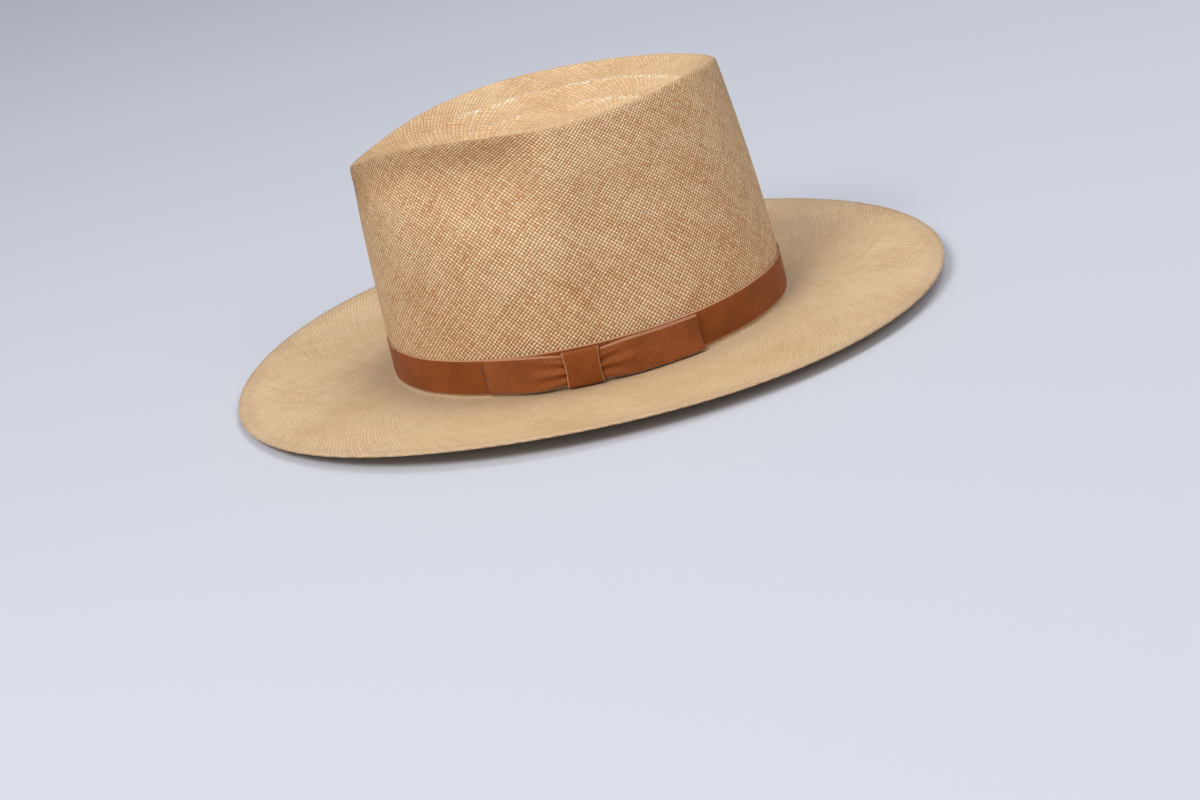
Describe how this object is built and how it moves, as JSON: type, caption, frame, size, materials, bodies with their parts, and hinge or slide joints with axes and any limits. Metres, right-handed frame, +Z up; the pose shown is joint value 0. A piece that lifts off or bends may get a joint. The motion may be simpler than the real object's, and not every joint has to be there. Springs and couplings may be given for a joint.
{
  "type": "straw fedora hat",
  "caption": "Woven straw fedora with a teardrop crown, pinched front, flat wide brim, ribbon band with a side bow, and a leather sweatband inside.",
  "frame": {"origin": "on the table under the middle of the hat, in the plane of the ring where the brim breaks from the crown, which it rests on", "axes": "+Z up, the front of the hat towards -Y, the wearer's left and the bow towards +X"},
  "size_m": [0.3284, 0.379, 0.1279],
  "materials": {
    "straw": "natural woven straw, satin",
    "ribbon": "grosgrain, matte",
    "ribbon_thread": "matte",
    "lining_tape": "matte",
    "leather": "smooth, satin",
    "reed_plastic": "matte",
    "leather_thread": "matte",
    "lining_ribbon": "satin",
    "tab": "matte"
  },
  "bodies": {
    "root": {"straw_body": "straw", "ribbon_band": "ribbon", "bow_ribbon": "ribbon", "bow_knot": "ribbon", "bow_gather_thread": "ribbon_thread", "band_tacks": "ribbon_thread", "bow_end_stitches": "ribbon_thread", "reed_tape": "lining_tape", "sweatband": "leather", "reed": "reed_plastic", "sweatband_stitches": "leather_thread", "sweatband_seam_tape": "lining_tape", "sweatband_bow_loops": "lining_ribbon", "sweatband_bow_knot": "lining_ribbon", "size_tab": "tab"}
  },
  "joints": []
}
